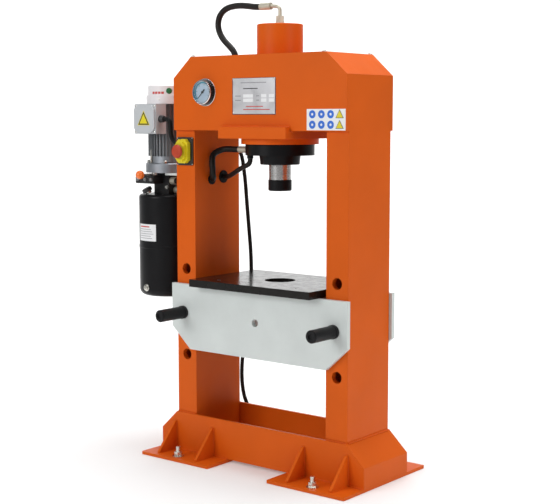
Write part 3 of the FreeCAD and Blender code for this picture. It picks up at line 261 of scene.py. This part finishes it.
def facing(x, y, z):
    """Local Z points to the front, local X to the right and local Y up, from a point."""
    return Matrix.Translation((x, y, z)) @ Matrix.Rotation(math.radians(90), 4, "X")


def line(name, points, thick, finish, body="frame", swell=None, closed=False):
    """A round line through the points. Swell gives each point its share of the thickness."""
    curve = bpy.data.curves.new(name, "CURVE")
    curve.dimensions = "3D"
    curve.bevel_depth = thick / 2
    curve.bevel_resolution = 4
    curve.use_fill_caps = True
    spline = curve.splines.new("POLY")
    spline.points.add(len(points) - 1)
    for i, (target, point) in enumerate(zip(spline.points, points)):
        target.co = (*point, 1)
        target.radius = swell[i] if swell else 1
    spline.use_cyclic_u = closed
    curve.materials.append(finish)
    made = bpy.data.objects.new(name, curve)
    scene.collection.objects.link(made)
    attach(made, body)
    return made


def weld(name, start, end, thick=0.006):
    """A painted weld bead: small uneven ripples along a straight seam."""
    start, end = Vector(start), Vector(end)
    count = max(4, int((end - start).length / RIPPLE))
    points = [start.lerp(end, i / count) for i in range(count + 1)]
    swell = [1 + 0.14 * math.sin(i * 2.1) + dice.uniform(-0.07, 0.07) for i in range(count + 1)]
    return line(name, points, thick, WELD, swell=swell)


# ---------------------------------------------------------------- cords and hoses

def cord(name, route, diameter, finish, replaced):
    """A free or bound cord along its real route."""
    curve = bpy.data.curves.new(name, "CURVE")
    curve.dimensions = "3D"
    curve.bevel_depth = diameter / 2
    curve.bevel_resolution = 6
    curve.resolution_u = 10
    curve.use_fill_caps = True
    spline = curve.splines.new("NURBS")
    spline.points.add(len(route) - 1)
    for target, point in zip(spline.points, route):
        target.co = (*point, 1)
    spline.order_u = 3
    spline.use_endpoint_u = True
    curve.materials.append(finish)
    made = bpy.data.objects.new(name, curve)
    scene.collection.objects.link(made)
    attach(made, "frame")
    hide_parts(*replaced)
    walked = sum((Vector(b) - Vector(a)).length for a, b in zip(route, route[1:]))
    return made


ADVANCE_ROUTE = [
    (-0.084, 0, 1.541), (-0.104, 0, 1.541), (-0.140, 0, 1.547), (-0.184, 0, 1.551), (-0.236, 0, 1.545),
    (-0.268, 0, 1.519), (-0.274, 0, 1.480), (-0.254, 0, 1.443), (-0.224, 0, 1.418),
    (-0.200, 0, 1.397), (-0.190, 0, 1.369), (-0.201, 0, 1.338), (-0.233, 0, 1.324),
    (-0.271, 0, 1.326), (-0.306, 0, 1.311), (-0.324, 0, 1.274), (-0.322, 0, 1.210),
    (-0.319, 0, 1.110), (-0.322, 0, 1.010), (-0.319, 0, 0.960), (-0.326, 0, 0.930),
    (-0.342, 0, 0.914), (-0.398, 0, 0.914), (-0.440, 0, 0.914), (-0.474, 0, 0.914)]
RETRACT_ROUTE = [
    (-0.159, 0, 1.064), (-0.200, 0, 1.064), (-0.226, -0.001, 1.065), (-0.248, -0.007, 1.064),
    (-0.269, -0.037, 1.048), (-0.259, -0.050, 1.018), (-0.257, -0.050, 0.998),
    (-0.257, -0.050, 0.979), (-0.262, -0.039, 0.963), (-0.281, -0.031, 0.960),
    (-0.325, -0.029, 0.955), (-0.372, -0.031, 0.950), (-0.412, -0.029, 0.947),
    (-0.442, -0.020, 0.948), (-0.474, -0.020, 0.948)]
RETURN_ROUTE = [
    (-0.088, -0.050, 1.036), (-0.088, -0.050, 1.023), (-0.100, -0.049, 1.014), (-0.118, -0.045, 1.008),
    (-0.140, -0.039, 1.001), (-0.172, -0.024, 0.989), (-0.206, -0.006, 0.978),
    (-0.240, 0.014, 0.969), (-0.268, 0.029, 0.967), (-0.300, 0.031, 0.966),
    (-0.338, 0.030, 0.950), (-0.370, 0.030, 0.946), (-0.410, 0.029, 0.943),
    (-0.442, 0.020, 0.946), (-0.474, 0.020, 0.946)]
CONDUIT_ROUTE = [
    (-0.452, -0.100, 1.168), (-0.432, -0.100, 1.168), (-0.410, -0.100, 1.166),
    (-0.407, -0.100, 1.142), (-0.406, -0.100, 1.116), (-0.401, -0.097, 1.096),
    (-0.386, -0.093, 1.084), (-0.366, -0.092, 1.084), (-0.354, -0.092, 1.084)]
LEAD_ROUTE = [
    (-0.3215, 0.138, 1.062), (-0.323, 0.158, 1.061), (-0.326, 0.179, 1.050),
    (-0.328, 0.193, 1.026), (-0.325, 0.197, 0.990), (-0.316, 0.195, 0.945),
    (-0.307, 0.191, 0.880), (-0.295, 0.189, 0.780), (-0.283, 0.188, 0.670),
    (-0.284, 0.189, 0.560), (-0.300, 0.191, 0.460), (-0.319, 0.190, 0.360),
    (-0.330, 0.189, 0.270), (-0.332, 0.190, 0.205), (-0.327, 0.197, 0.143),
    (-0.312, 0.213, 0.092), (-0.284, 0.238, 0.047), (-0.246, 0.262, 0.017),
    (-0.197, 0.284, 0.007), (-0.146, 0.299, 0.007), (-0.096, 0.304, 0.007),
    (-0.050, 0.303, 0.007)]
COIL_MIDDLE = Vector((0, 0.222, 0))


def coil_route():
    """Two turns side by side on the floor, one on top of them, then the way to the plug."""
    route = []
    for step in range(1, 45):
        turn = step / 15
        angle = math.radians(102 - 360 * turn)
        inward = min(1, max(0, (turn - 0.8) / 0.3))
        upward = min(1, max(0, (turn - 1.8) / 0.3))
        radius = 0.0835 - 0.0135 * inward + 0.0065 * upward
        height = 0.007 + 0.0142 * upward
        route.append(tuple(COIL_MIDDLE + Vector((radius * math.cos(angle),
                                                 radius * math.sin(angle), height))))
    return route + [(0.020, 0.2985, 0.0225), (0.042, 0.300, 0.0265), (0.062, 0.300, 0.028)]


cord("advance_hose_run", ADVANCE_ROUTE, 0.021, HOSE, ["advance_hose"])
cord("retract_hose_run", RETRACT_ROUTE, 0.021, HOSE, ["retract_hose"])
cord("return_hose_run", RETURN_ROUTE, 0.017, HOSE, ["return_hose"])
cord("motor_conduit", CONDUIT_ROUTE, 0.016, RUBBER, ["conduit"])
cord("mains_lead_run", LEAD_ROUTE + coil_route(), 0.014, RUBBER, ["mains_lead", "mains_coil"])

# The ferrule at the gland, and the boot on the return hose's union.
lathe("gland_ferrule", [(0.0107, 0), (0.0112, 0), (0.0112, 0.046), (0.0107, 0.046)], BRASSY,
      Matrix.Translation((-0.133, 0, 1.064)) @ Matrix.Rotation(-math.pi / 2, 4, "Y"))
lathe("return_boot", [(0.0103, 0), (0.0108, 0), (0.0108, 0.0112), (0.0103, 0.0112)], BLACK,
      Matrix.Translation((-0.088, -0.050, 1.0362)))


# ---------------------------------------------------------------- welds

for side in (-1, 1):
    inner, outer = side * 0.281, side * 0.362
    weld("upright_front_weld", (inner, -0.1175, 0.1452), (outer, -0.1175, 0.1452))
    weld("upright_rear_weld", (inner, 0.1175, 0.1452), (outer, 0.1175, 0.1452))
    weld("upright_end_weld", (side * 0.3655, -0.112, 0.1452), (side * 0.3655, 0.112, 0.1452))
    weld("head_front_weld", (inner, -0.1175, 1.1288), (outer, -0.1175, 1.1288), 0.005)
    weld("head_rear_weld", (inner, 0.1175, 1.1288), (outer, 0.1175, 1.1288), 0.005)
    weld("cylinder_plate_end_weld", (side * 0.1435, -0.128, 1.1295), (side * 0.1435, -0.117, 1.1295),
         0.005)
    for edge in (-0.1255, 0.1255):
        weld("foot_to_base_weld", (side * 0.13, edge, 0.011), (side * 0.433, edge, 0.011), 0.005)
    for middle in (0.197, 0.370):
        for face in (-0.0055, 0.0055):
            for front in (-1, 1):
                x = side * middle + face
                weld("gusset_weld", (x, front * 0.1262, 0.012), (x, front * 0.1262, 0.108), 0.004)
                weld("gusset_foot_weld", (x, front * 0.128, 0.0108), (x, front * 0.212, 0.0108), 0.004)
weld("cylinder_plate_front_weld", (-0.142, -0.1288, 1.1425), (0.142, -0.1288, 1.1425))
weld("cylinder_plate_rear_weld", (-0.142, 0.1288, 1.1425), (0.142, 0.1288, 1.1425))
ring = [(x, y, 1.3775) for x, y in ring_points(0.0775, 120)]
line("barrel_weld", ring, 0.004, WELD, closed=True,
     swell=[1 + 0.14 * math.sin(i * 2.1) for i in range(len(ring))])


# ---------------------------------------------------------------- plates on the head

def rectangle(x_low, y_low, x_high, y_high):
    return [(x_low, y_low), (x_high, y_low), (x_high, y_high), (x_low, y_high)]


head = facing(0, HEAD_FACE, 0)
prism("nameplate", rectangle(-0.098, 1.1825, 0.0845, 1.3015), 0, PLATE_THICK, PLATE, head)
# Dark edge round the nameplate, made wider at the right and bottom edges as painted shadow under the plate's
# edge.
for x_low, z_low, x_high, z_high in ((-0.098, 1.1825, 0.0845, 1.1845), (-0.098, 1.3005, 0.0845, 1.3015),
                                     (-0.098, 1.1845, -0.0962, 1.3005), (0.082, 1.1845, 0.0845, 1.3005)):
    prism("nameplate_border_and_painted_shadow", rectangle(x_low, z_low, x_high, z_high), PLATE_THICK, 0.0011, INK,
          head)
for x, z, wide, tone in ((-0.062, 1.2845, 0.107, PALE_INK), (-0.052, 1.2655, 0.062, INK),
                         (-0.086, 1.2415, 0.024, PALE_INK), (-0.086, 1.2275, 0.024, PALE_INK),
                         (0.004, 1.2415, 0.012, PALE_INK), (0.004, 1.2275, 0.012, PALE_INK),
                         (-0.040, 1.2075, 0.072, RED_INK), (-0.052, 1.1975, 0.112, RED_INK)):
    prism("nameplate_bar", rectangle(x, z, x + wide, z + 0.0028), PLATE_THICK, 0.0010, tone, head)
for x, z in ((-0.052, 1.2375), (-0.052, 1.2235), (0.024, 1.2375), (0.024, 1.2235), (0.056, 1.2375),
             (0.056, 1.2235)):
    wide = 0.042 if x < 0 else 0.022
    prism("nameplate_field", rectangle(x, z, x + wide, z + 0.011), PLATE_THICK, 0.0010, LABEL, head)
for x in (-0.095, 0.0765):
    for z in (1.189, 1.2985):
        lathe("nameplate_rivet", [(0, 0.0008), (0.0022, 0.0008), (0.0019, 0.0018), (0, 0.0022)], ZINC,
              facing(x, HEAD_FACE, z), count=16)

prism("safety_plate", rectangle(0.2095, 1.133, 0.3595, 1.1995), 0, 0.0006, LABEL, head)
for column in range(4):
    for row in range(2):
        x, z = 0.2315 + 0.0355 * column, 1.1505 + 0.0325 * row
        if column < 3:
            prism("blue_disc", ring_points(0.0128), 0.0006, 0.0009, SIGN_BLUE, facing(x, HEAD_FACE, z))
            prism("pale_spot", ring_points(0.0045, 5, 1.57), 0.0009, 0.0011, LABEL, facing(x, HEAD_FACE, z))
            continue
        x -= 0.001
        prism("triangle_edge", ring_points(0.0180, 3, math.radians(90)), 0.0006, 0.0009, INK,
              facing(x, HEAD_FACE, z - 0.003))
        prism("triangle", ring_points(0.0148, 3, math.radians(90)), 0.0009, 0.0012, YELLOW,
              facing(x, HEAD_FACE, z - 0.003))

for x, y in ((-0.277, -0.122), (0.272, -0.122), (0.277, 0.122)):
    lathe("head_bolt", [(0, 0), (0.0075, 0), (0.0075, 0.001), (0.0055, 0.0015), (0.0055, 0.005),
                        (0, 0.0058)], ZINC, Matrix.Translation((x, y, 1.377)), count=24)


# ---------------------------------------------------------------- gauge face

dial = facing(GAUGE_X, DIAL_FACE, GAUGE_Z)
prism("dial", ring_points(0.0358, 64), 0.0, 0.0003, DIAL, dial)
for step in range(28):
    angle = math.radians(225 - 10 * step)
    inner, half = (0.0235, 0.0006) if step % 5 == 0 else (0.0265, 0.0003)
    turn = dial @ Matrix.Rotation(angle, 4, "Z")
    prism("dial_mark", rectangle(inner, -half, 0.0298, half), 0.0003, 0.0005, INK, turn)
# The blue band runs out along its outer edge and back along its inner one.
steps = 54
band = []
for radius, order in ((0.0352, range(steps + 1)), (0.0300, reversed(range(steps + 1)))):
    band += [(radius * math.cos(math.radians(225 - 5 * i)), radius * math.sin(math.radians(225 - 5 * i)))
             for i in order]
front = facing(GAUGE_X, HEAD_FACE, GAUGE_Z)
# Black sleeve over the chrome gauge neck: a painted dark reflection in place of the orange one the chrome
# would give.
lathe("gauge_neck_painted_reflection", [(0.0379, 0.0032), (0.0383, 0.0032), (0.0383, 0.0088), (0.0379, 0.0088)], BLACK, front)
lathe("gauge_band", [(0.0409, 0.0092), (0.0413, 0.0092), (0.0413, 0.0180), (0.0409, 0.0180)], BLACK, front)
corners = [dial @ Vector((x, y, level)) for level in (0.0003, 0.0005) for x, y in band]
count, last = len(band), len(band) - 1
faces = [(i, i + 1, last - 1 - i, last - i) for i in range(steps)]
faces += [(count + last - i, count + last - 1 - i, count + 1 + i, count + i) for i in range(steps)]
solid("dial_band", corners, faces, DIAL_BLUE)


# ---------------------------------------------------------------- switch and terminal box

for x in (-0.0335, 0.0335):
    for z in (-0.0445, 0.0445):
        lathe("switch_screw", [(0, 0), (0.0022, 0), (0.0020, 0.0008), (0, 0.001)], ZINC,
              facing(SWITCH_X + x, BASE_FACE, SWITCH_Z + z), count=16)
lathe("button_collar", [(0.0068, 0.0), (0.0195, 0.0), (0.0190, 0.0006), (0.0068, 0.0008)], YELLOW,
      facing(SWITCH_X, FLAP_CROWN, SWITCH_Z), "flap")
for z in (-0.026, 0.026):
    prism("flap_rib", rectangle(-0.012, z - 0.0012, 0.012, z + 0.0012), 0, 0.0012, YELLOW,
          facing(SWITCH_X, FLAP_CROWN, SWITCH_Z), "flap")

for x in (-0.045, 0.045):
    for z in (1.123, 1.213):
        lathe("lid_screw", [(0, 0), (0.0036, 0), (0.0036, 0.0012), (0.0025, 0.0018), (0, 0.0018)], ZINC,
              facing(BOX_X + x, -0.123, z), count=20)
for label, radius, low, finish in (("lid_triangle_rim", 0.0345, 0, YELLOW),
                                   ("lid_triangle_edge", 0.0305, 0.0003, INK),
                                   ("lid_triangle", 0.0225, 0.0006, YELLOW)):
    prism(label, ring_points(radius, 3, math.radians(90)), low, low + 0.0003, finish,
          facing(BOX_X - 0.001, -0.130, 1.1630))
gland = Matrix.Translation((-0.452, -0.100, 1.168)) @ Matrix.Rotation(math.radians(90), 4, "Y")
lathe("conduit_nut", [(0.0081, -0.0028), (0.0124, -0.0028), (0.0124, 0.010), (0.0105, 0.015),
                      (0.0081, 0.015)], DARK_PLASTIC, gland, count=24)


# ---------------------------------------------------------------- motor and pump

unit = Matrix.Translation((UNIT_X, 0, 0))
for step in range(4):
    angle = math.radians(45 + 90 * step - 10)
    spot = unit @ Matrix.Translation((0.0695 * math.cos(angle), 0.0695 * math.sin(angle), 1.011))
    lathe("flange_bolt", [(0, 0), (0.0065, 0), (0.0065, 0.008), (0.0045, 0.010), (0, 0.010)], ZINC, spot,
          count=6)
for angle in (math.radians(250), math.radians(70)):
    spot = unit @ Matrix.Translation((0.0672 * math.cos(angle), 0.0672 * math.sin(angle), 1.011))
    lathe("tie_bolt", [(0, 0), (0.0035, 0), (0.0035, 0.048), (0, 0.05)], ZINC, spot, count=16)
for angle in range(0, 360, 90):
    turn = unit @ Matrix.Rotation(math.radians(angle + 20), 4, "Z") @ Matrix.Translation((0.0751, 0, 1.236))
    lathe("cowl_screw", [(0, 0), (0.0032, 0), (0.0024, 0.0012), (0, 0.0014)], ZINC,
          turn @ Matrix.Rotation(math.radians(90), 4, "Y"), count=16)


def on_drum(radius, angle, height):
    """Local Z points out of an upright drum on the motor's axis, local Y up."""
    turn = unit @ Matrix.Rotation(angle, 4, "Z") @ Matrix.Translation((radius, 0, height))
    return turn @ Matrix.Rotation(math.radians(90), 4, "Z") @ Matrix.Rotation(math.radians(90), 4, "X")


lathe("cowl_badge", [(0, -0.001), (0.0105, -0.001), (0.0105, 0.0006), (0.0095, 0.0012), (0, 0.0014)],
      BADGE, on_drum(0.0702, math.radians(-42), 1.2665), count=32)


def wrapped(name, radius, first, last, low, high, thick, finish):
    """A sticker that follows the drum between two angles."""
    corners, faces, count = [], [], 16
    for depth in (radius, radius + thick):
        for height in (low, high):
            for i in range(count + 1):
                angle = first + (last - first) * i / count
                corners.append(unit @ Vector((depth * math.cos(angle), depth * math.sin(angle), height)))
    row = count + 1
    for i in range(count):
        faces.append((2 * row + i, 2 * row + i + 1, 3 * row + i + 1, 3 * row + i))
        faces.append((i + 1, i, row + i, row + i + 1))
        faces.append((i, i + 1, 2 * row + i + 1, 2 * row + i))
        faces.append((row + i + 1, row + i, 3 * row + i, 3 * row + i + 1))
    faces.append((0, 2 * row, 3 * row, row))
    faces.append((row - 1, 2 * row - 1, 4 * row - 1, 3 * row - 1))
    return solid(name, corners, faces, finish, smooth=False)


around_front = math.radians(-96)
wrapped("tank_label", 0.1061, around_front - 0.42, around_front + 0.42, 0.735, 0.795, 0.0004, LABEL)
wrapped("tank_label_bar", 0.1065, around_front - 0.34, around_front + 0.16, 0.784, 0.788, 0.0002, RED_INK)
for i, height in enumerate((0.776, 0.768, 0.760, 0.752, 0.744)):
    wrapped("tank_label_line", 0.1065, around_front - 0.36, around_front + 0.22 + 0.05 * (i % 3), height,
            height + 0.0018, 0.0002, PALE_INK)
for angle in (-95, -85, -75, -65):
    wrapped("cowl_stripe", 0.0701, math.radians(angle), math.radians(angle + 8), 1.256, 1.264, 0.0003,
            RED_INK)
lathe("drain_plug", [(0, 0), (0.013, 0), (0.013, 0.002), (0.0095, 0.003), (0.0095, 0.007),
                     (0.005, 0.008), (0.005, 0.006), (0, 0.006)], ZINC,
      on_drum(0.1055, math.radians(-96), 0.567), count=32)
for x, y, z in ((-0.585, -0.0852, 0.953), (-0.548, -0.0852, 0.953), (-0.519, -0.0852, 0.953)):
    lathe("valve_plug", [(0, 0), (0.0075, 0), (0.0065, 0.0035), (0.0035, 0.0035), (0.0035, 0.0015),
                         (0, 0.0015)], BARE, facing(x, y, z), count=6)
lathe("pump_plug", [(0, 0), (0.008, 0), (0.007, 0.004), (0, 0.004)], ZINC, facing(-0.488, -0.0362, 0.925),
      count=6)
for x, y in ((-0.590, -0.060), (-0.560, -0.060)):
    lathe("valve_cap_screw", [(0, 0), (0.0045, 0), (0.0045, 0.005), (0.0025, 0.005), (0.0025, 0.0025),
                              (0, 0.0025)], BARE, Matrix.Translation((x, y, 0.968)), count=20)


# ---------------------------------------------------------------- table and cylinder details

# Flat dark hexagons at the table screws: painted shade standing in for their socket recesses.
for x in (-0.165, 0.165):
    for y in (-0.126, 0.126):
        prism("screw_socket_painted_shade", ring_points(0.0040, 6), 0.6255, 0.62562, INK,
              Matrix.Translation((x, y, 0)))
rod_ring = [(x, y, 0.985) for x, y in ring_points(0.0372, 60)]
line("rod_ring", rod_ring, 0.0008, BARE, "ram", closed=True)


# ---------------------------------------------------------------- stage, light and camera

FLOOR = bpy.data.materials.new("studio floor")
FLOOR.use_nodes = True
floor = FLOOR.node_tree.nodes["Principled BSDF"]
floor.inputs["Base Color"].default_value = (0.84, 0.84, 0.84, 1)
floor.inputs["Roughness"].default_value = 0.9
floor.inputs["Emission Color"].default_value = (1, 1, 1, 1)
floor.inputs["Emission Strength"].default_value = 0.10


def sweep():
    """A pale floor that curves up into a wall far behind the press, square to the view."""
    profile = [(-14, -0.0005), (5.0, -0.0005)]
    profile += [(5.0 + 3.0 * math.sin(math.radians(a)), -0.0005 + 3.0 * (1 - math.cos(math.radians(a))))
                for a in range(9, 91, 9)]
    profile.append((8.0, 9.0))
    turn = Matrix.Rotation(math.radians(38.469), 4, "Z")
    corners = [turn @ Vector((x, y, z)) for y, z in profile for x in (-14, 14)]
    faces = [(2 * i, 2 * i + 1, 2 * i + 3, 2 * i + 2) for i in range(len(profile) - 1)]
    mesh = bpy.data.meshes.new("sweep")
    mesh.from_pydata([tuple(c) for c in corners], [], faces)
    mesh.materials.append(FLOOR)
    mesh.shade_smooth()
    made = bpy.data.objects.new("sweep", mesh)
    scene.collection.objects.link(made)


sweep()


def area_light(name, place, target, size, power, color=(1, 1, 1)):
    data = bpy.data.lights.new(name, "AREA")
    data.shape = "RECTANGLE"
    data.size, data.size_y = size
    data.energy = power
    data.color = color
    lamp = bpy.data.objects.new(name, data)
    lamp.location = place
    lamp.rotation_euler = (Vector(target) - Vector(place)).to_track_quat("-Z", "Y").to_euler()
    scene.collection.objects.link(lamp)
    return lamp


area_light("front_key", (-1.4, -4.6, 2.6), (0, 0, 0.8), (2.6, 2.2), 104)
area_light("right_fill", (5.0, 0.0, 1.3), (0, 0, 0.9), (1.6, 2.0), 56)
area_light("top", (0.2, 0.4, 4.4), (0, 0, 0.8), (3.0, 3.0), 165)
area_light("backdrop", (-2.0, 2.6, 5.2), (-5.0, 6.4, 1.5), (5.0, 2.0), 330)

world = bpy.data.worlds.new("studio")
world.use_nodes = True
world.node_tree.nodes["Background"].inputs["Color"].default_value = (1, 1, 1, 1)
world.node_tree.nodes["Background"].inputs["Strength"].default_value = 0.25
scene.world = world
scene.view_settings.view_transform = "Standard"

camera_data = bpy.data.cameras.new("camera")
camera_data.sensor_width = 36
camera_data.lens = 79.395
camera = bpy.data.objects.new("camera", camera_data)
camera.location = (2.5773, -3.2438, 1.1719)
camera.rotation_euler = (math.radians(83.8), 0, math.radians(38.469))
scene.collection.objects.link(camera)
scene.camera = camera
